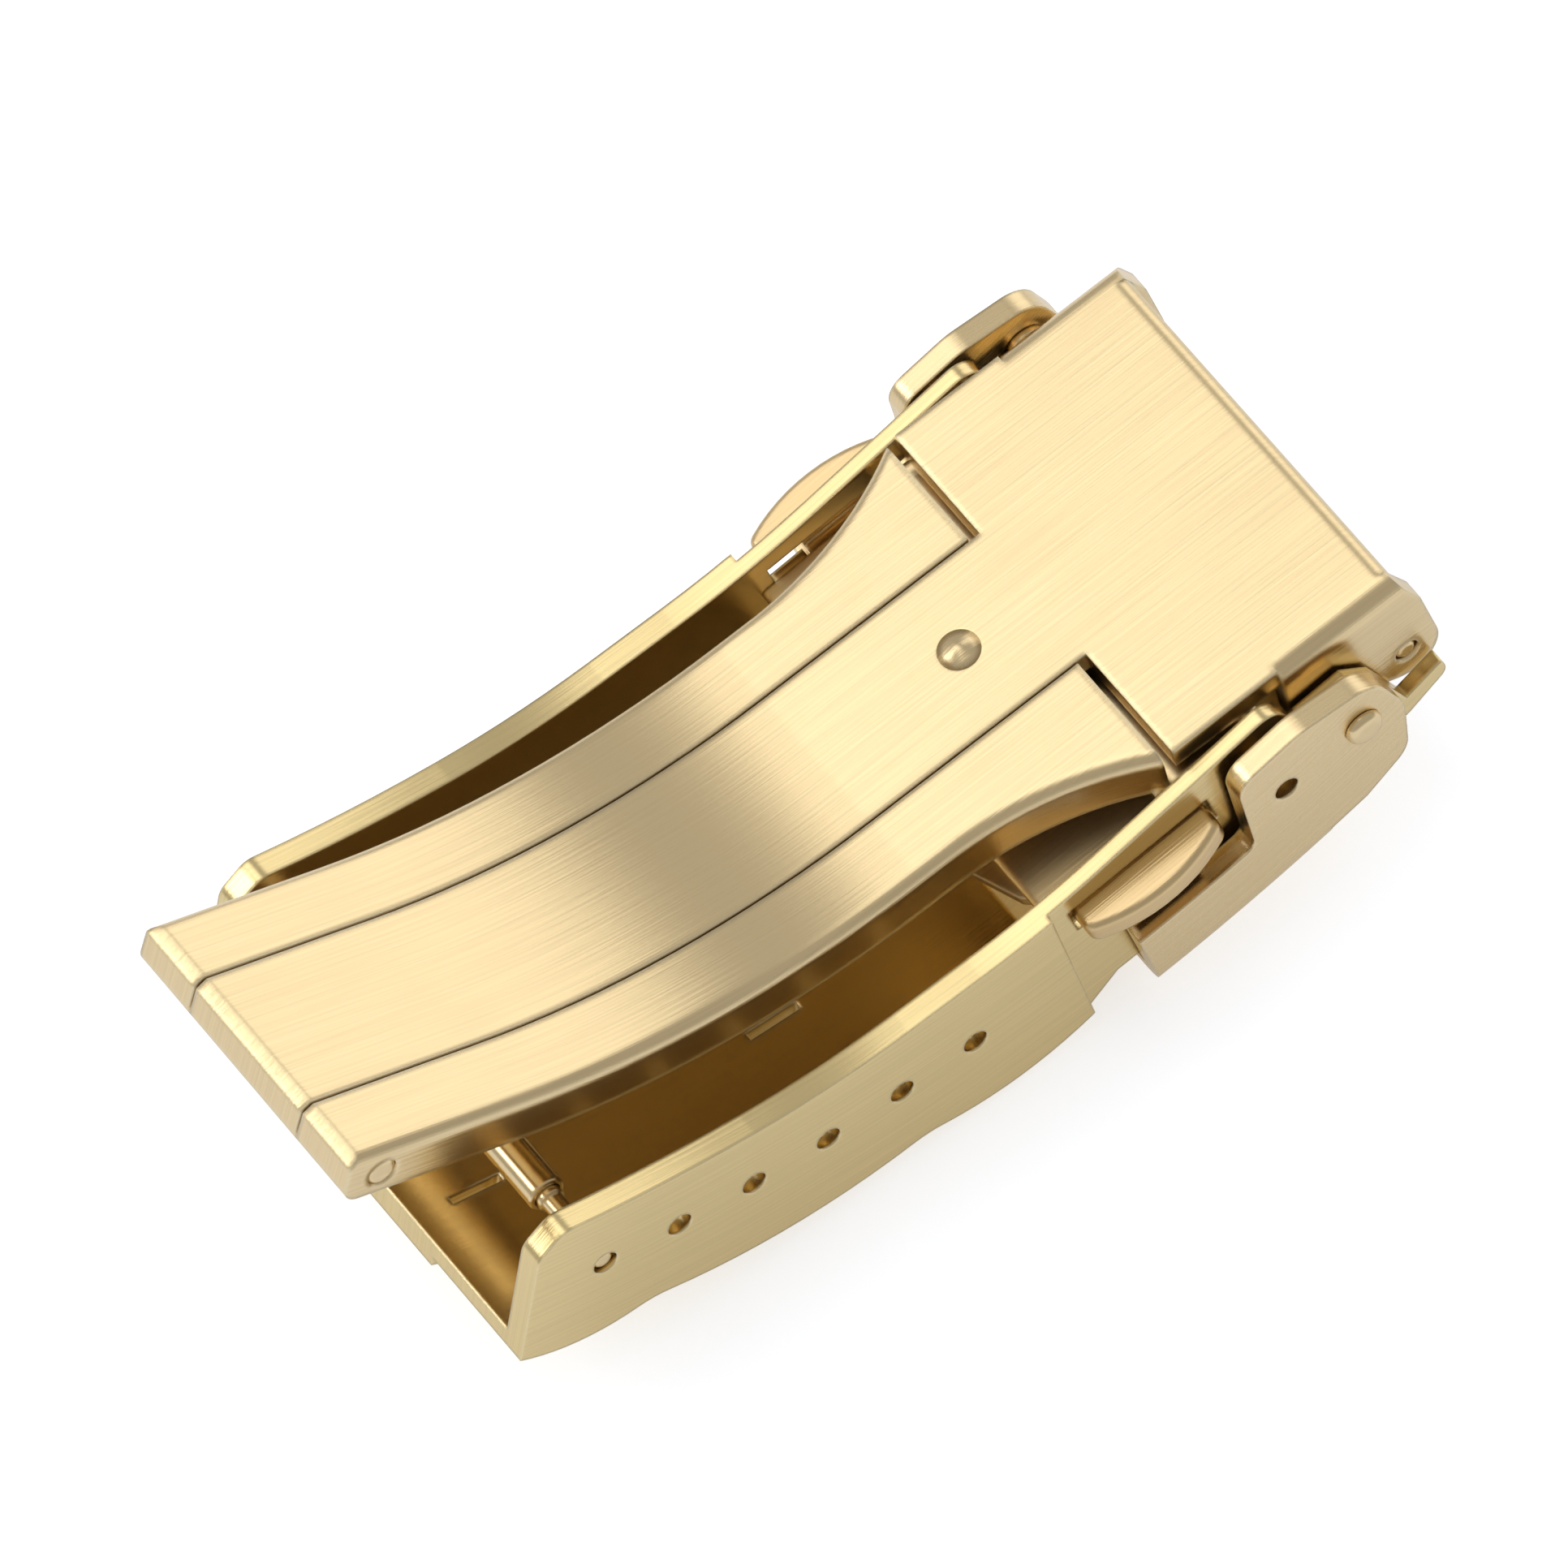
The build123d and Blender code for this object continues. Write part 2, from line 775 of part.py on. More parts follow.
# Hollow under the fork's plate, inside its turned-down edges
with BuildPart() as fork_hollow:
    with BuildSketch(Plane.XZ):
        with BuildLine():
            blade_band(fork_plate, fork_depth + overrun, fork_end_back)
        make_face()
    extrude(amount=half_shoulder)
    with BuildSketch(Plane.XY):
        with BuildLine():
            fork_plan(fork_flange, knuckle_x, drop_x)
        make_face()
    extrude(amount=top_z, mode=Mode.INTERSECT)

# Forked blade: two prongs, a drop at the shoulder and a hinge knuckle under the head
with BuildPart() as fork_blade:
    with BuildSketch(Plane.XZ) as fork_side:
        with BuildLine():
            blade_band(0, fork_depth, fork_end_back)
        make_face()
        chamfer(near_point(fork_side, nose_point), length=nose_edge_break)
        fillet(near_point(fork_side, on_nose(0, fork_depth)), radius=nose_foot_round)
        with BuildLine():
            Polyline(
                on_head(fork_end_back, 0),
                on_head(fork_end_back, cross_depth + cross_plate),
                on_head(fork_end_back + drop_wall, cross_depth + cross_plate),
                on_head(fork_end_back + drop_wall, 0),
                close=True,
            )
        make_face()
    extrude(amount=half_shoulder)
    with BuildSketch(Plane.XY):
        with BuildLine():
            fork_plan(0, left_x, fork_end_x)
        make_face()
    extrude(amount=top_z, mode=Mode.INTERSECT)
    add(fork_hollow.part, mode=Mode.SUBTRACT)
    top_outer = fork_blade.edges().filter_by(
        lambda e: below_top(e.center()) < fork_plate / 2
        and e.center().Y < seat_gap - half_fork
        and e.length > fork_plate
    )
    fillet(top_outer, radius=fork_edge_round)
    with BuildSketch(Plane.XZ):
        with BuildLine():
            Polyline(
                on_head(fork_end_back + drop_wall, cross_depth),
                on_head(casing_pin_back, cross_depth),
                on_head(casing_pin_back, cross_depth + cross_plate),
                on_head(fork_end_back + drop_wall, cross_depth + cross_plate),
                close=True,
            )
        make_face()
        with Locations(casing_pin_point):
            Circle(knuckle_radius)
    extrude(amount=half_shoulder - cross_inset)
    with BuildSketch(side_plane(0)):
        with Locations(casing_pin_point):
            Circle(casing_pin_diameter / 2 + running_gap)
    extrude(amount=half_width, mode=Mode.SUBTRACT)
    with BuildSketch(side_plane(0)):
        with Locations(nose_pin_point):
            Circle(nose_pin_diameter / 2 + seat_gap)
    extrude(amount=half_width, mode=Mode.SUBTRACT)
    mirror(about=Plane.XZ)

fork_blade.part.label = "fork_blade"
export_step(fork_blade.part, "parts/fork_blade.step")

# Near ear of the head, folded down at its side, with a hole for the bracelet's bar
with BuildPart() as head_ear:
    with BuildSketch(side_plane(ear_inside)):
        with Locations(end_bar_point):
            Circle(ear_round)
        with BuildLine():
            Polyline(
                on_head(ear_back, 0),
                (ear_x, on_head(ear_back, ear_drop)[1]),
                on_head(-ear_overhang, 2 * ear_bend_round),
                on_head(ear_corner_back, 0),
                close=True,
            )
        make_hull()
        with Locations(end_bar_point):
            Circle(adjust_hole_diameter / 2, mode=Mode.SUBTRACT)
    extrude(amount=ear_thickness)
    ear_fold = head_ear.edges().filter_by(
        lambda e: e.center().Y < seat_gap - half_head and below_top(e.center()) < seat_gap
    )
    fillet(ear_fold, radius=ear_bend_round)

# Centre blade: stem, head, turned-down end and two ears for the bracelet
with BuildPart() as centre_blade:
    with BuildSketch(Plane.XZ) as centre_side:
        with BuildLine():
            blade_band(0, centre_plate, end_back)
        make_face()
        with BuildLine():
            Polyline(
                on_nose(0, 0),
                on_nose(knuckle_length, 0),
                on_nose(knuckle_length, fork_depth),
                on_nose(0, fork_depth),
                close=True,
            )
        make_face()
        with BuildLine():
            Polyline(
                on_head(end_back, 0),
                on_head(0, 0),
                on_head(0, end_wall_drop),
                on_head(end_plate, end_wall_drop),
                on_head(end_plate, centre_plate),
                on_head(end_back, centre_plate),
                close=True,
            )
        make_face()
        chamfer(near_point(centre_side, nose_point), length=nose_edge_break)
        fillet(near_point(centre_side, on_nose(0, fork_depth)), radius=nose_foot_round)
        fillet(near_point(centre_side, on_head(0, 0)), radius=end_roll_radius)
        fillet(
            near_point(centre_side, on_head(end_plate, centre_plate)),
            radius=end_inner_round,
        )
    extrude(amount=half_head)
    with BuildSketch(Plane.XY):
        with BuildLine():
            Polyline(
                (left_x, 0),
                (left_x, -half_stem),
                (shoulder_x, -half_stem),
                (shoulder_x, -half_shoulder),
                (ear_x, -half_shoulder),
                (ear_x, -ear_inside),
                (right_x, -ear_inside),
                (right_x, 0),
                close=True,
            )
        make_face()
    extrude(amount=top_z, mode=Mode.INTERSECT)
    add(head_ear.part)
    with BuildSketch(side_plane(0)):
        with Locations(nose_pin_point):
            Circle(nose_pin_diameter / 2 + running_gap)
    extrude(amount=half_stem, mode=Mode.SUBTRACT)
    mirror(about=Plane.XZ)
    with BuildSketch(stud_plane.offset(-centre_plate - overrun)):
        Circle(stud_neck_diameter / 2 + seat_gap)
    extrude(amount=centre_plate + overrun + overrun, mode=Mode.SUBTRACT)

centre_blade.part.label = "centre_blade"
export_step(centre_blade.part, "parts/centre_blade.step")

# Stud riveted in the stem, with a dome on top and a head for the hooks below
with BuildPart() as latch_stud:
    with BuildSketch(stud_plane.offset(-stud_length)):
        Circle(stud_head_diameter / 2)
    extrude(amount=stud_head_height)
    chamfer(latch_stud.edges(), length=stud_head_break)
    with BuildSketch(stud_plane.offset(-stud_length)):
        Circle(stud_neck_diameter / 2)
    extrude(amount=stud_length + seat_gap)
    with BuildSketch(stud_plane.offset(seat_gap)):
        Circle(stud_dome_diameter / 2)
    with BuildSketch(stud_plane.offset(seat_gap + stud_dome_height)):
        Circle(stud_dome_top_diameter / 2)
    loft()

latch_stud.part.label = "latch_stud"
export_step(latch_stud.part, "parts/latch_stud.step")


def build_pin(point, radius, half_length):
    """Pin across the clasp, with its ends broken."""
    with BuildPart() as pin:
        with BuildSketch(side_plane(-half_length)):
            with Locations(point):
                Circle(radius)
        extrude(amount=2 * half_length)
        chamfer(pin.edges().filter_by(GeomType.CIRCLE), length=pin_edge_break)
    return pin


blade_hinge_pin = build_pin(nose_pin_point, nose_pin_diameter / 2, half_fork - seat_gap)
blade_hinge_pin.part.label = "blade_hinge_pin"
export_step(blade_hinge_pin.part, "parts/blade_hinge_pin.step")

casing_hinge_pin = build_pin(
    casing_pin_point, casing_pin_diameter / 2, half_recessed - pin_end_inset
)
casing_hinge_pin.part.label = "casing_hinge_pin"
export_step(casing_hinge_pin.part, "parts/casing_hinge_pin.step")

# Flip lock: near half and its mirror
with BuildPart() as flip_lock:
    with BuildSketch(side_plane(lock_inside)):
        with BuildLine():
            arc_band(lock_start, lock_plate_end, -lock_outer_depth, lock_strip_rise)
        make_face()
    extrude(amount=lock_ear_thickness)
    with BuildSketch(Plane.XZ):
        with BuildLine():
            arc_band(lock_start, lock_plate_end, -lock_outer_depth, -lock_inner_depth)
        make_face()
    extrude(amount=lock_outside)
    bend_edge = flip_lock.edges().filter_by(
        lambda e: abs(e.center().Y + lock_outside) < seat_gap
        and hypot(e.center().X, e.center().Z - arc_z)
        > hole_arc_radius + lock_inner_depth + seat_gap
        and e.length > lock_bend_round * 3
    )
    fillet(bend_edge, radius=lock_bend_round)
    with BuildSketch(side_plane(lock_inside)) as lock_side:
        lock_corners = (
            (lock_lobe_start, lock_lobe_rise, lock_lobe_start_round),
            (lock_lobe_end, lock_lobe_rise, lock_lobe_round),
            (lock_tip_station, lock_tip_rise, lock_tip_round),
            (lock_tip_station, lock_tip_foot_rise, lock_tip_foot_round),
            (lock_foot_station, -lock_foot_depth, lock_foot_round),
        )
        with BuildLine():
            Polyline(
                on_arc(lock_lobe_foot, lock_strip_rise),
                *[on_arc(station, rise) for station, rise, corner_round in lock_corners],
                on_arc(lock_heel_station, -lock_heel_depth),
                on_arc(lock_plate_end, -lock_heel_depth),
                on_arc(lock_plate_end, -lock_shank_depth),
                on_arc(lock_lobe_foot, -lock_shank_depth),
                close=True,
            )
        make_face()
        for station, rise, corner_round in lock_corners:
            fillet(near_point(lock_side, on_arc(station, rise)), radius=corner_round)
        with BuildLine():
            arc_band(lock_start, lock_lobe_foot, -lock_shank_depth, lock_strip_rise)
        make_face()
        fillet(
            near_point(lock_side, on_arc(lock_lobe_foot, lock_strip_rise)),
            radius=lock_notch_round,
        )
        with Locations(rivet_point):
            Circle(rivet_shank_diameter / 2 + running_gap, mode=Mode.SUBTRACT)
    extrude(amount=lock_ear_thickness)
    with BuildSketch(side_plane(lock_inside)):
        with Locations(casing_pin_point):
            Circle(lock_window_diameter / 2)
    extrude(amount=lock_ear_thickness, mode=Mode.SUBTRACT)
    mirror(about=Plane.XZ)

flip_lock.part.label = "flip_lock"
export_step(flip_lock.part, "parts/flip_lock.step")

# Rivets that carry the flip lock, with a collar between wall and ear
with BuildPart() as lock_rivet_near:
    with BuildSketch(side_plane(half_inside + rivet_end_inset)):
        with Locations(rivet_point):
            Circle(rivet_shank_diameter / 2)
    extrude(amount=lock_outside - half_inside)
    with BuildSketch(side_plane(half_recessed + seat_gap)):
        with Locations(rivet_point):
            Circle(rivet_collar_diameter / 2)
    extrude(amount=lock_ear_gap - seat_gap - running_gap)
    with BuildSketch(side_plane(lock_outside + running_gap)):
        with Locations(rivet_point):
            Circle(rivet_head_diameter / 2)
    extrude(amount=rivet_head_height)
    rivet_face = lock_rivet_near.faces().sort_by(Axis.Y)[0]
    fillet(rivet_face.edges(), radius=rivet_head_round)

lock_rivet_near.part.label = "lock_rivet_near"
export_step(lock_rivet_near.part, "parts/lock_rivet_near.step")

with BuildPart() as lock_rivet_far:
    mirror(lock_rivet_near.part, about=Plane.XZ)

lock_rivet_far.part.label = "lock_rivet_far"
export_step(lock_rivet_far.part, "parts/lock_rivet_far.step")


def build_tube(point, half_length):
    """Tube of a spring bar."""
    with BuildPart() as tube:
        with BuildSketch(side_plane(-half_length)):
            with Locations(point):
                Circle(bar_diameter / 2)
                Circle(bar_bore_diameter / 2, mode=Mode.SUBTRACT)
        extrude(amount=2 * half_length)
        rims = tube.edges().filter_by(
            lambda e: e.geom_type == GeomType.CIRCLE and e.radius > bar_bore_diameter / 2
        )
        fillet(rims, radius=bar_edge_round)
    return tube


def build_plunger(point, tip_end):
    """Near plunger of a spring bar: a piston in the tube and a tip out of its end."""
    with BuildPart() as plunger:
        with BuildSketch(side_plane(tip_end - plunger_length)):
            with Locations(point):
                Circle(plunger_tip_diameter / 2)
        extrude(amount=plunger_length)
        chamfer(plunger.faces().sort_by(Axis.Y)[0].edges(), length=bar_edge_round)
        with BuildSketch(side_plane(tip_end - plunger_length)):
            with Locations(point):
                Circle(plunger_piston_diameter / 2)
        extrude(amount=plunger_piston_length)
    return plunger


# Spring bars: one in the first adjustment hole, one in the head's ears
bars = (
    (
        "adjust_bar",
        first_hole_point,
        half_inside - adjust_bar_end_gap,
        half_width - adjust_tip_inset,
    ),
    (
        "end_bar",
        end_bar_point,
        ear_inside - end_bar_end_gap,
        half_head - end_tip_inset,
    ),
)
for bar_name, bar_point, tube_half, tip_end in bars:
    bar_tube = build_tube(bar_point, tube_half)
    bar_tube.part.label = f"{bar_name}_tube"
    export_step(bar_tube.part, f"parts/{bar_name}_tube.step")

    tip_near = build_plunger(bar_point, tip_end)
    tip_near.part.label = f"{bar_name}_plunger_near"
    export_step(tip_near.part, f"parts/{bar_name}_plunger_near.step")

    with BuildPart() as tip_far:
        mirror(tip_near.part, about=Plane.XZ)
    tip_far.part.label = f"{bar_name}_plunger_far"
    export_step(tip_far.part, f"parts/{bar_name}_plunger_far.step")

    spring_half = tip_end - plunger_length - seat_gap
    bar_spring = coil(
        Vector(bar_point[0], spring_half, bar_point[1]),
        2 * spring_half,
        bar_spring_diameter / 2,
        bar_spring_wire,
        bar_spring_turns,
    )
    bar_spring.part.label = f"{bar_name}_spring"
    export_step(bar_spring.part, f"parts/{bar_name}_spring.step")
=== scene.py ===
from math import cos, radians, sin

import bmesh
import bpy
from mathutils import Matrix, Vector


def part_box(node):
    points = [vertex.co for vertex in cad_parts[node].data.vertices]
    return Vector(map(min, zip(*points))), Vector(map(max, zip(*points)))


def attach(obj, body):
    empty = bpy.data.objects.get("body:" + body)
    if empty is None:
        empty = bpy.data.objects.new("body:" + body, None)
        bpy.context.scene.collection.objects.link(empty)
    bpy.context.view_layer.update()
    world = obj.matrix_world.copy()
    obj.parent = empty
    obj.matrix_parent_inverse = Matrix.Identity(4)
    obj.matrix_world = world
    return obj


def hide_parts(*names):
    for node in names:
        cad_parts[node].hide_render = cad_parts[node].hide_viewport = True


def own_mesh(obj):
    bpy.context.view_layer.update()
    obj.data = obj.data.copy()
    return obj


# A fold-over watch clasp in brushed pale gold, on a white floor.
# Metres, in the frame of the solids.

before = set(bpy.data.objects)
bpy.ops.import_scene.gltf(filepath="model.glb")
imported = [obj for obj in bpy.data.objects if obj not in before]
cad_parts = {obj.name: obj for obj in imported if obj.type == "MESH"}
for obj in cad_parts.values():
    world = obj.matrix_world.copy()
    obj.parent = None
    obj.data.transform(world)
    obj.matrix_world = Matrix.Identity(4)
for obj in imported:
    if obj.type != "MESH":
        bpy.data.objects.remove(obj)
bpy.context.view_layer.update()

# Camera: the angle and distance that match the photograph, which is 1932 pixels wide
PHOTO_WIDTH = 1932
PHOTO_FOCAL = 39260.0
SENSOR_WIDTH = 36.0
CAMERA_AZIMUTH = -31.52
CAMERA_ELEVATION = 54.70
CAMERA_ROLL = -4.11
CAMERA_DISTANCE = 1.1375
CAMERA_RIGHT = -0.004397
CAMERA_UP = 0.000672
CLIP_START = 0.01
CLIP_END = 10.0

# The casing stands turned by this much from where the camera was measured
REST_TURN = 8.0
REST_SHIFT = Vector((0.00421, 0.0, 0.00367))

# Centre height of the casing's arc, and the side line of the blades' tops
ARC_HEIGHT = 0.0599
BEND = Vector((-0.00742, 0.0, 0.00911))
NOSE_SLOPE = -0.4881
HEAD_SLOPE = 0.0926
BEND_BLEND = 0.004

# Colours
PALE_GOLD = (0.86, 0.672, 0.382, 1.0)
CASING_GOLD = (0.855, 0.672, 0.335, 1.0)
WARM_GOLD = (0.78, 0.575, 0.30, 1.0)
# Brighter gold painted on the edges as a highlight
EDGE_HIGHLIGHT_GOLD = (0.93, 0.81, 0.55, 1.0)
WIRE_STEEL = (0.62, 0.6, 0.56, 1.0)
WHITE = (1.0, 1.0, 1.0, 1.0)
FLOOR_WHITE = (0.84, 0.88, 0.97, 1.0)

# Brushed lines, and the soft clouds of tone over them
LINE_WIDTH = 0.00012
LINE_LENGTH = 0.008
LINE_DETAIL = 3.0
LINE_ROUGHNESS = 0.6
CLOUD_SIZE = 0.004
CLOUD_DETAIL = 2.0
CLOUD_ROUGHNESS = 0.5
# A face counts as a side where its normal leans further than this along Y
SIDE_FACING = 0.7

# Edges: radius of the softened normal, and how far it agrees with the true normal
# where the painted highlight in brighter gold starts and where it is full
EDGE_RADIUS = 0.0002
EDGE_SAMPLES = 6
EDGE_STARTS = 0.95
EDGE_FULL = 0.78

# How the lines and clouds shade the metal
LINE_RANGE = (0.3, 0.7)
CLOUD_RANGE = (0.35, 0.65)
LINE_SHARE = 0.85
DARK_LINE = 0.9
ROUGH_SPREAD = 0.1
EDGE_POLISH = 0.4
BUMP_DISTANCE = 0.00001

# How much whiter the floor looks to the camera, and in the metal
FLOOR_SEEN = 0.6
FLOOR_MIRRORED = 0.25
# Half the floor's width
FLOOR_HALF = 3.0

# Strength of the room's light, and of the white that the camera sees behind the clasp
ROOM_LIGHT = 0.45
ROOM_SEEN = 1.0

# Lamps: name, place, width and height, power
LAMPS = (
    ("overhead", (-0.06, 0.25, 0.56), (0.3, 0.6), 0.65),
    ("window", (0.54, 0.32, 0.33), (0.46, 0.5), 0.63),
    ("edge_strip", (-0.43, 0.35, 0.43), (0.16, 0.4), 0.7),
)
LAMP_AIM = Vector((0, 0, 0.008))

# How far the buttons and the spring bars' plungers shorten their springs
ADJUST_TRAVEL = 0.001
END_TRAVEL = 0.0009
# Vertices nearer than this are one, and half the gap between a bar spring's two halves
MERGE_DISTANCE = 0.0000002
HALF_GAP = 0.000005


def camera_axes():
    """Right, up and back directions of the camera and its place, in the clasp's frame."""
    azimuth = radians(CAMERA_AZIMUTH)
    elevation = radians(CAMERA_ELEVATION)
    roll = radians(CAMERA_ROLL)
    back = Vector(
        (sin(azimuth) * cos(elevation), -cos(azimuth) * cos(elevation), sin(elevation))
    )
    side = (-back).cross(Vector((0, 0, 1))).normalized()
    top = side.cross(-back)
    right = side * cos(roll) + top * sin(roll)
    up = top * cos(roll) - side * sin(roll)
    turn = Matrix.Rotation(radians(REST_TURN), 3, "Y")
    place = back * CAMERA_DISTANCE + right * CAMERA_RIGHT + up * CAMERA_UP
    return turn @ right, turn @ up, turn @ back, turn @ place + REST_SHIFT


def make_camera():
    """Camera that sees the clasp as the photograph does."""
    right, up, back, place = camera_axes()
    lens = bpy.data.cameras.new("photo_camera")
    lens.sensor_width = SENSOR_WIDTH
    lens.lens = PHOTO_FOCAL / PHOTO_WIDTH * SENSOR_WIDTH
    lens.clip_start = CLIP_START
    lens.clip_end = CLIP_END
    camera = bpy.data.objects.new("photo_camera", lens)
    turn = Matrix((right, up, back)).transposed().to_4x4()
    camera.matrix_world = Matrix.Translation(place) @ turn
    bpy.context.scene.collection.objects.link(camera)
    bpy.context.scene.camera = camera


class Tree:
    """Adds nodes to a node tree and links them by socket."""

    def __init__(self, tree):
        self.tree = tree
        self.links = tree.links

    def node(self, kind, **settings):
        made = self.tree.nodes.new(kind)
        for name, value in settings.items():
            setattr(made, name, value)
        return made

    def feed(self, socket, value):
        if isinstance(value, bpy.types.NodeSocket):
            self.links.new(value, socket)
        else:
            socket.default_value = value

    def maths(self, operation, a, b=0.0, c=0.0):
        made = self.node("ShaderNodeMath", operation=operation)
        for socket, value in zip(made.inputs, (a, b, c)):
            self.feed(socket, value)
        return made.outputs[0]

    def join(self, x, y, z):
        made = self.node("ShaderNodeCombineXYZ")
        for socket, value in zip(made.inputs, (x, y, z)):
            self.feed(socket, value)
        return made.outputs[0]

    def split(self, vector):
        made = self.node("ShaderNodeSeparateXYZ")
        self.feed(made.inputs[0], vector)
        return made.outputs

    def noise(self, vector, scale, detail, roughness):
        made = self.node("ShaderNodeTexNoise")
        self.feed(made.inputs["Vector"], vector)
        self.feed(made.inputs["Scale"], scale)
        self.feed(made.inputs["Detail"], detail)
        self.feed(made.inputs["Roughness"], roughness)
        return made.outputs[0]

    def ramp(self, value, low, high, from_value=0.0, to_value=1.0):
        made = self.node("ShaderNodeMapRange")
        self.feed(made.inputs["Value"], value)
        self.feed(made.inputs["From Min"], low)
        self.feed(made.inputs["From Max"], high)
        self.feed(made.inputs["To Min"], from_value)
        self.feed(made.inputs["To Max"], to_value)
        return made.outputs[0]

    def choose(self, factor, a, b):
        """First value where the factor is 0, second where it is 1."""
        made = self.node("ShaderNodeMix", data_type="FLOAT")
        self.feed(made.inputs[0], factor)
        self.feed(made.inputs[2], a)
        self.feed(made.inputs[3], b)
        return made.outputs[0]

    def blend(self, factor, a, b):
        """First colour where the factor is 0, second where it is 1."""
        made = self.node("ShaderNodeMix", data_type="RGBA")
        self.feed(made.inputs[0], factor)
        self.feed(made.inputs[6], a)
        self.feed(made.inputs[7], b)
        return made.outputs[2]

    def camera_rays(self, path):
        """Mask of the rays that show a thing to the camera, straight or through glass."""
        direct = path.outputs["Is Camera Ray"]
        through = path.outputs["Is Transmission Ray"]
        return self.maths("MAXIMUM", direct, through)


def empty_tree(owner):
    """Node tree of a material or world, with no nodes in it."""
    owner.use_nodes = True
    owner.node_tree.nodes.clear()
    return Tree(owner.node_tree)


def new_group(name, inputs, outputs):
    """Empty shader group with named sockets."""
    group = bpy.data.node_groups.new(name, "ShaderNodeTree")
    for label, kind, value in inputs:
        socket = group.interface.new_socket(label, in_out="INPUT", socket_type=kind)
        socket.default_value = value
    for label, kind in outputs:
        group.interface.new_socket(label, in_out="OUTPUT", socket_type=kind)
    tree = Tree(group)
    entry = tree.node("NodeGroupInput")
    end = tree.node("NodeGroupOutput")
    return group, tree, entry, end


def brush_line_group():
    """Fine lines along the clasp that follow the arc or the blades' bend."""
    group, tree, entry, end = new_group(
        "brush_lines",
        [
            ("Follow Blades", "NodeSocketFloat", 0.0),
            ("Line Width", "NodeSocketFloat", LINE_WIDTH),
            ("Line Length", "NodeSocketFloat", LINE_LENGTH),
            ("Cloud Size", "NodeSocketFloat", CLOUD_SIZE),
        ],
        [("Lines", "NodeSocketFloat"), ("Clouds", "NodeSocketFloat")],
    )
    place = tree.node("ShaderNodeTexCoord").outputs["Object"]
    x, y, z = tree.split(place)
    normal = tree.node("ShaderNodeNewGeometry").outputs["Normal"]
    sideways = tree.maths("ABSOLUTE", tree.split(normal)[1])
    is_side = tree.maths("GREATER_THAN", sideways, SIDE_FACING)
    drop = tree.maths("SUBTRACT", ARC_HEIGHT, z)
    radius = tree.maths(
        "SQRT",
        tree.maths(
            "ADD",
            tree.maths("POWER", x, 2.0),
            tree.maths("POWER", drop, 2.0),
        ),
    )
    from_bend = tree.maths("SUBTRACT", x, BEND.x)
    top_line = tree.maths(
        "SMOOTH_MAX",
        tree.maths("MULTIPLY", from_bend, NOSE_SLOPE),
        tree.maths("MULTIPLY", from_bend, HEAD_SLOPE),
        BEND_BLEND,
    )
    blade_depth = tree.maths("SUBTRACT", z, top_line)
    rise = tree.choose(entry.outputs["Follow Blades"], radius, blade_depth)
    across = tree.choose(is_side, y, rise)
    run = tree.maths("DIVIDE", x, entry.outputs["Line Length"])
    step = tree.maths("DIVIDE", across, entry.outputs["Line Width"])
    grain = tree.noise(tree.join(run, step, is_side), 1.0, LINE_DETAIL, LINE_ROUGHNESS)
    cloud_scale = tree.maths("DIVIDE", 1.0, entry.outputs["Cloud Size"])
    clouds = tree.noise(place, cloud_scale, CLOUD_DETAIL, CLOUD_ROUGHNESS)
    tree.feed(end.inputs["Lines"], grain)
    tree.feed(end.inputs["Clouds"], clouds)
    return group


def edge_highlight_group():
    """Rounded edge normal, and a mask of the edges where a highlight is painted in brighter
    gold.
    """
    group, tree, entry, end = new_group(
        "edge_highlight",
        [
            ("Edge Radius", "NodeSocketFloat", EDGE_RADIUS),
            ("Strength", "NodeSocketFloat", 1.0),
        ],
        [("Normal", "NodeSocketVector"), ("Edge", "NodeSocketFloat")],
    )
    bevel = tree.node("ShaderNodeBevel", samples=EDGE_SAMPLES)
    tree.feed(bevel.inputs["Radius"], entry.outputs["Edge Radius"])
    geometry = tree.node("ShaderNodeNewGeometry")
    agreement = tree.node("ShaderNodeVectorMath", operation="DOT_PRODUCT")
    tree.feed(agreement.inputs[0], bevel.outputs[0])
    tree.feed(agreement.inputs[1], geometry.outputs["Normal"])
    # Mask of the edges that get a painted highlight
    edge = tree.ramp(agreement.outputs["Value"], EDGE_STARTS, EDGE_FULL)
    tree.feed(end.inputs["Normal"], bevel.outputs[0])
    tree.feed(end.inputs["Edge"], tree.maths("MULTIPLY", edge, entry.outputs["Strength"]))
    return group


BRUSH_LINES = brush_line_group()
EDGE_HIGHLIGHT = edge_highlight_group()


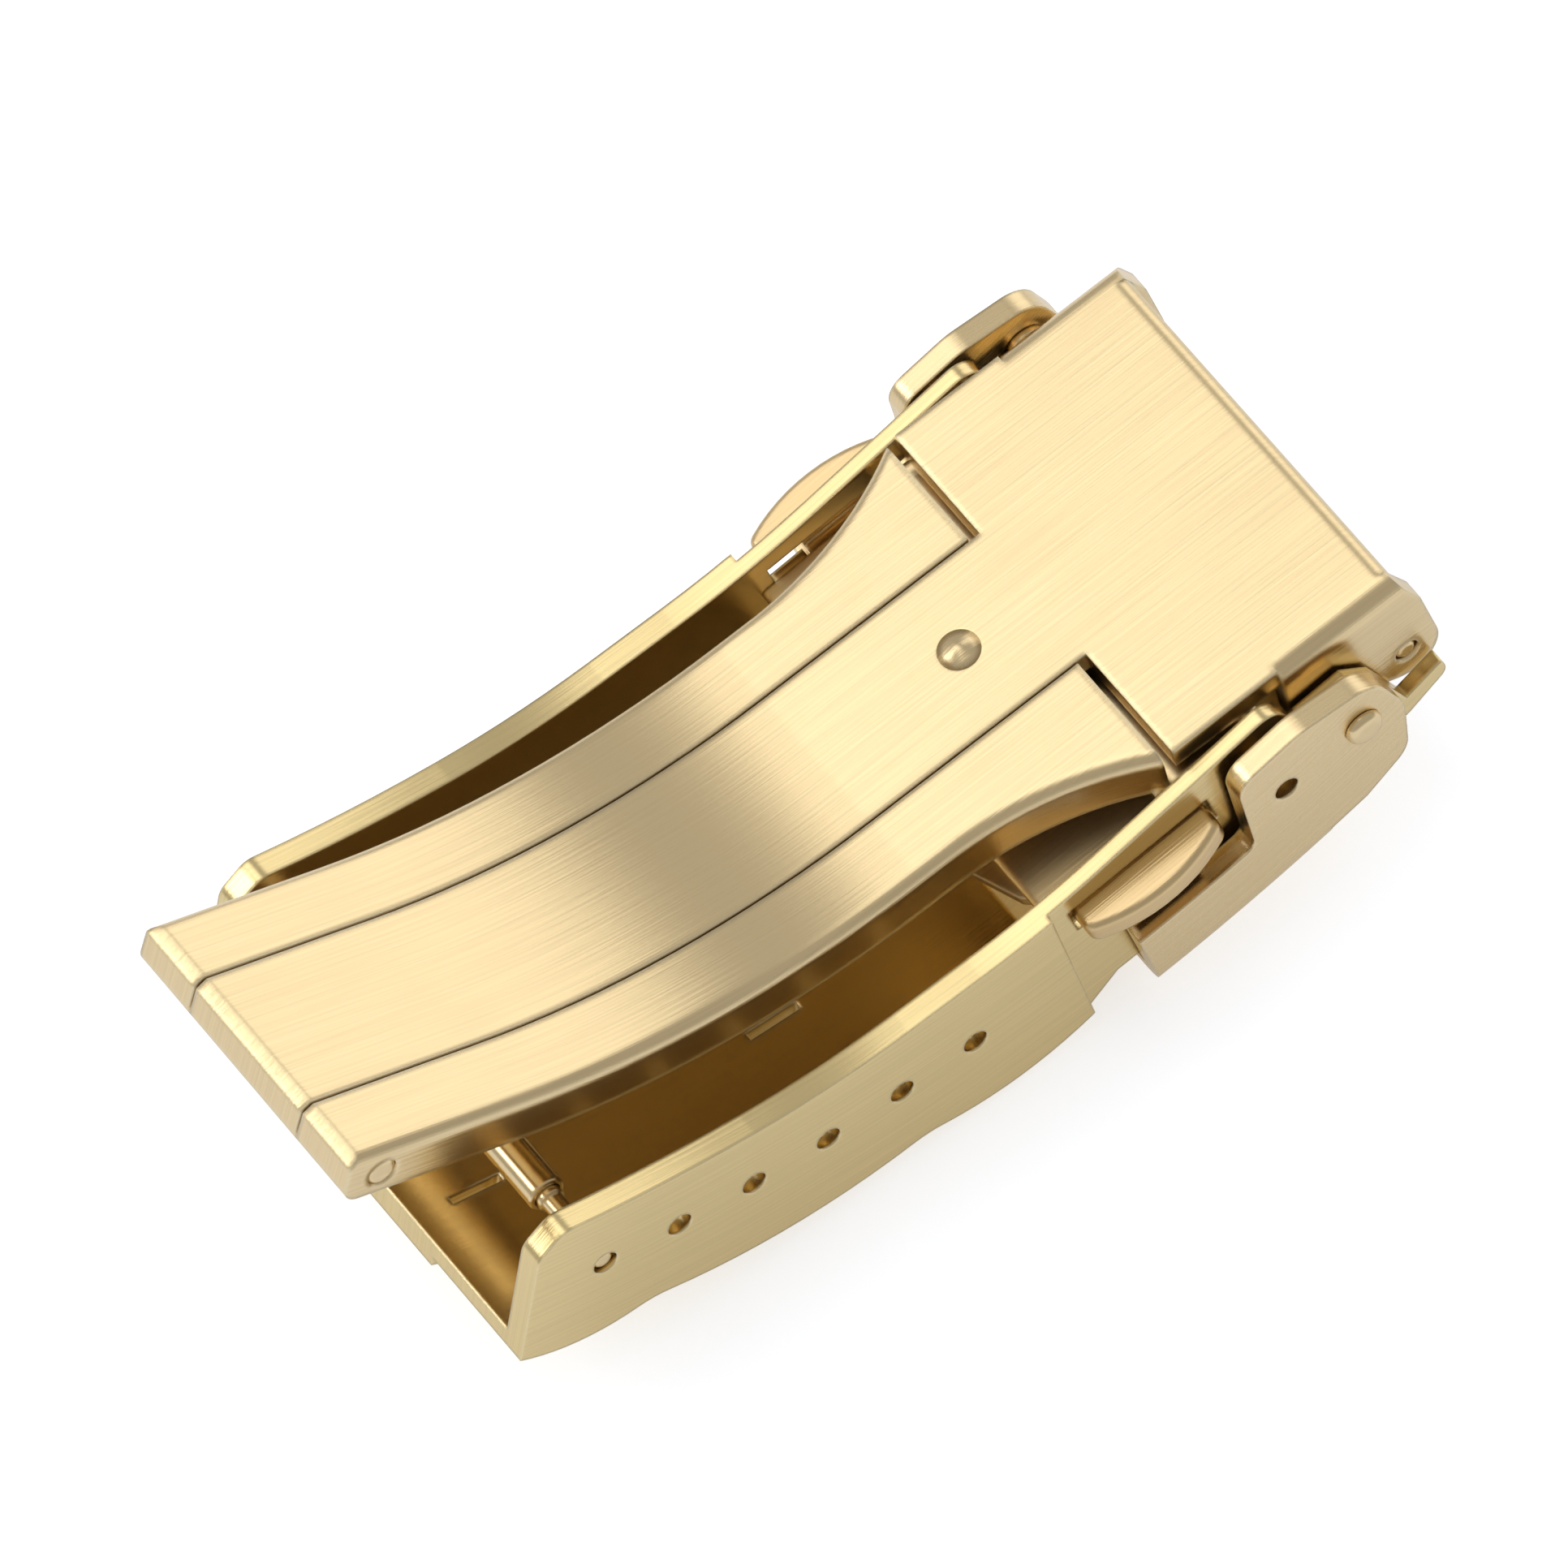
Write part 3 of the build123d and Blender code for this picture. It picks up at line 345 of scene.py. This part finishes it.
def gold_material(name, follow_blades=0.0, roughness=0.24, line_depth=1.0, edge=0.6,
                  edge_radius=EDGE_RADIUS, body=PALE_GOLD):
    """Brushed or polished metal, pale gold unless its body says otherwise, with a highlight
    painted on its edges in brighter gold.
    """
    material = bpy.data.materials.new(name)
    tree = empty_tree(material)
    output = tree.node("ShaderNodeOutputMaterial")
    metal = tree.node("ShaderNodeBsdfPrincipled")
    metal.inputs["Metallic"].default_value = 1.0
    tree.feed(output.inputs["Surface"], metal.outputs[0])
    lines = tree.node("ShaderNodeGroup", node_tree=BRUSH_LINES)
    lines.inputs["Follow Blades"].default_value = follow_blades
    edge_highlight_node = tree.node("ShaderNodeGroup", node_tree=EDGE_HIGHLIGHT)
    edge_highlight_node.inputs["Edge Radius"].default_value = edge_radius
    edge_highlight_node.inputs["Strength"].default_value = edge
    grain = tree.ramp(lines.outputs["Lines"], *LINE_RANGE)
    clouds = tree.ramp(lines.outputs["Clouds"], *CLOUD_RANGE)
    grain_part = tree.maths("MULTIPLY", grain, LINE_SHARE)
    cloud_part = tree.maths("MULTIPLY", clouds, 1.0 - LINE_SHARE)
    mix = tree.maths("ADD", grain_part, cloud_part)
    dark_body = tuple(DARK_LINE * channel for channel in body[:3]) + (1.0,)
    colour = tree.blend(mix, dark_body, body)
    # Painted highlight: the edges are blended towards brighter gold
    highlighted_colour = tree.blend(edge_highlight_node.outputs["Edge"], colour, EDGE_HIGHLIGHT_GOLD)
    tree.feed(metal.inputs["Base Color"], highlighted_colour)
    roughest = roughness * (1.0 + ROUGH_SPREAD)
    smoothest = roughness * (1.0 - ROUGH_SPREAD)
    brushed = tree.ramp(mix, 0.0, 1.0, roughest, smoothest)
    polish = tree.maths("MULTIPLY", edge_highlight_node.outputs["Edge"], roughness * EDGE_POLISH)
    tree.feed(metal.inputs["Roughness"], tree.maths("SUBTRACT", brushed, polish))
    bump = tree.node("ShaderNodeBump")
    bump.inputs["Strength"].default_value = line_depth
    bump.inputs["Distance"].default_value = BUMP_DISTANCE
    tree.feed(bump.inputs["Height"], lines.outputs["Lines"])
    tree.feed(bump.inputs["Normal"], edge_highlight_node.outputs["Normal"])
    tree.feed(metal.inputs["Normal"], bump.outputs[0])
    return material


def dress(node, material):
    """Gives a solid of the frame its finish."""
    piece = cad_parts[node]
    piece.data.materials.clear()
    piece.data.materials.append(material)


brushed_casing = gold_material("brushed_casing", body=CASING_GOLD)
brushed_blades = gold_material("brushed_blades", follow_blades=1.0, edge_radius=0.00035)
brushed_lock = gold_material("brushed_lock", roughness=0.28)
polished_pins = gold_material("polished_pins", roughness=0.16, line_depth=0.15, edge=0.3)
satin_plate = gold_material("satin_plate", roughness=0.42, line_depth=0.6, edge=0.3)
warm_pads = gold_material("warm_pads", roughness=0.3, body=WARM_GOLD)
drawn_wire = gold_material("drawn_wire", roughness=0.25, line_depth=0.1, edge=0.0,
                           body=WIRE_STEEL)

# Pins, rivets, tubes, plungers and the spring anchor aren't listed: they are polished
finishes = {
    "casing": brushed_casing,
    "fork_blade": brushed_blades,
    "centre_blade": brushed_blades,
    "latch_stud": brushed_blades,
    "flip_lock": brushed_lock,
    "bridge_plate": satin_plate,
    "latch_hook_near": satin_plate,
    "latch_hook_far": satin_plate,
    "push_button_near": warm_pads,
    "push_button_far": warm_pads,
    "button_spring_near": drawn_wire,
    "button_spring_far": drawn_wire,
    "adjust_bar_spring": drawn_wire,
    "end_bar_spring": drawn_wire,
}
for node_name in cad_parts:
    dress(node_name, finishes.get(node_name, polished_pins))


def half_mesh(node, side, middle):
    """Half of a solid on one side of its middle, closed at the cut."""
    form = bmesh.new()
    form.from_mesh(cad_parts[node].data)
    bmesh.ops.remove_doubles(form, verts=form.verts, dist=MERGE_DISTANCE)
    cut = bmesh.ops.bisect_plane(
        form,
        geom=form.verts[:] + form.edges[:] + form.faces[:],
        plane_co=middle + Vector((0, side * HALF_GAP, 0)),
        plane_no=(0, -side, 0),
        clear_outer=True,
    )
    rim = [edge for edge in cut["geom_cut"] if isinstance(edge, bmesh.types.BMEdge)]
    bmesh.ops.edgeloop_fill(form, edges=rim)
    mesh = bpy.data.meshes.new(node)
    form.to_mesh(mesh)
    form.free()
    mesh.materials.append(drawn_wire)
    return mesh


def squash_spring(node, body, joint, mesh):
    """Wire that stands for a spring, hung on its body in place of the hidden CAD spring."""
    spring = bpy.data.objects.new(joint + "_wire", mesh)
    bpy.context.scene.collection.objects.link(spring)
    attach(spring, body)
    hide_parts(node)
    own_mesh(spring)


# Each button has a spring of its own, and the two plungers of a bar share one spring,
# which is made in two halves, one on the side of each plunger
for side, side_name in ((-1, "near"), (1, "far")):
    button_node = "button_spring_" + side_name
    squash_spring(
        button_node,
        "casing",
        "button_" + side_name + "_slide",
        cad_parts[button_node].data.copy(),
    )
    for bar, bar_body, bar_travel in (
        ("adjust", "casing", ADJUST_TRAVEL),
        ("end", "centre_blade", END_TRAVEL),
    ):
        bar_node = bar + "_bar_spring"
        bar_low, bar_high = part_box(bar_node)
        bar_middle = (bar_low + bar_high) / 2
        squash_spring(
            bar_node,
            bar_body,
            bar + "_plunger_" + side_name + "_slide",
            half_mesh(bar_node, side, bar_middle),
        )


def floor_material():
    """Matte white that shows its shadows, and glows to the camera and in reflections."""
    material = bpy.data.materials.new("white_floor")
    tree = empty_tree(material)
    output = tree.node("ShaderNodeOutputMaterial")
    matte = tree.node("ShaderNodeBsdfDiffuse")
    matte.inputs["Color"].default_value = FLOOR_WHITE
    glow = tree.node("ShaderNodeEmission")
    glow.inputs["Color"].default_value = WHITE
    path = tree.node("ShaderNodeLightPath")
    seen = tree.camera_rays(path)
    mirrored = tree.maths("MULTIPLY", path.outputs["Is Glossy Ray"], FLOOR_MIRRORED)
    glowing = tree.maths("MULTIPLY", seen, FLOOR_SEEN)
    tree.feed(glow.inputs["Strength"], tree.maths("ADD", glowing, mirrored))
    both = tree.node("ShaderNodeAddShader")
    tree.feed(both.inputs[0], matte.outputs[0])
    tree.feed(both.inputs[1], glow.outputs[0])
    tree.feed(output.inputs["Surface"], both.outputs[0])
    return material


def make_floor():
    """Square of white floor that the clasp lies on."""
    half = FLOOR_HALF
    mesh = bpy.data.meshes.new("floor")
    mesh.from_pydata(
        [(-half, -half, 0), (half, -half, 0), (half, half, 0), (-half, half, 0)],
        [],
        [(0, 1, 2, 3)],
    )
    mesh.materials.append(floor_material())
    floor = bpy.data.objects.new("floor", mesh)
    bpy.context.scene.collection.objects.link(floor)


def make_world():
    """Soft light from all round, which the camera sees as plain white."""
    world = bpy.data.worlds.new("soft_room")
    bpy.context.scene.world = world
    tree = empty_tree(world)
    output = tree.node("ShaderNodeOutputWorld")
    background = tree.node("ShaderNodeBackground")
    background.inputs["Color"].default_value = WHITE
    path = tree.node("ShaderNodeLightPath")
    seen = tree.camera_rays(path)
    strength = tree.ramp(seen, 0.0, 1.0, ROOM_LIGHT, ROOM_SEEN)
    tree.feed(background.inputs["Strength"], strength)
    tree.feed(output.inputs["Surface"], background.outputs[0])


def make_lamp(name, place, size, power):
    """Rectangular lamp that faces the clasp."""
    lamp = bpy.data.lights.new(name, "AREA")
    lamp.shape = "RECTANGLE"
    lamp.size, lamp.size_y = size
    lamp.energy = power
    piece = bpy.data.objects.new(name, lamp)
    aim = (LAMP_AIM - Vector(place)).to_track_quat("-Z", "Y")
    piece.matrix_world = Matrix.Translation(place) @ aim.to_matrix().to_4x4()
    bpy.context.scene.collection.objects.link(piece)


make_camera()
make_floor()
make_world()
for lamp_settings in LAMPS:
    make_lamp(*lamp_settings)
bpy.context.scene.view_settings.view_transform = "Standard"
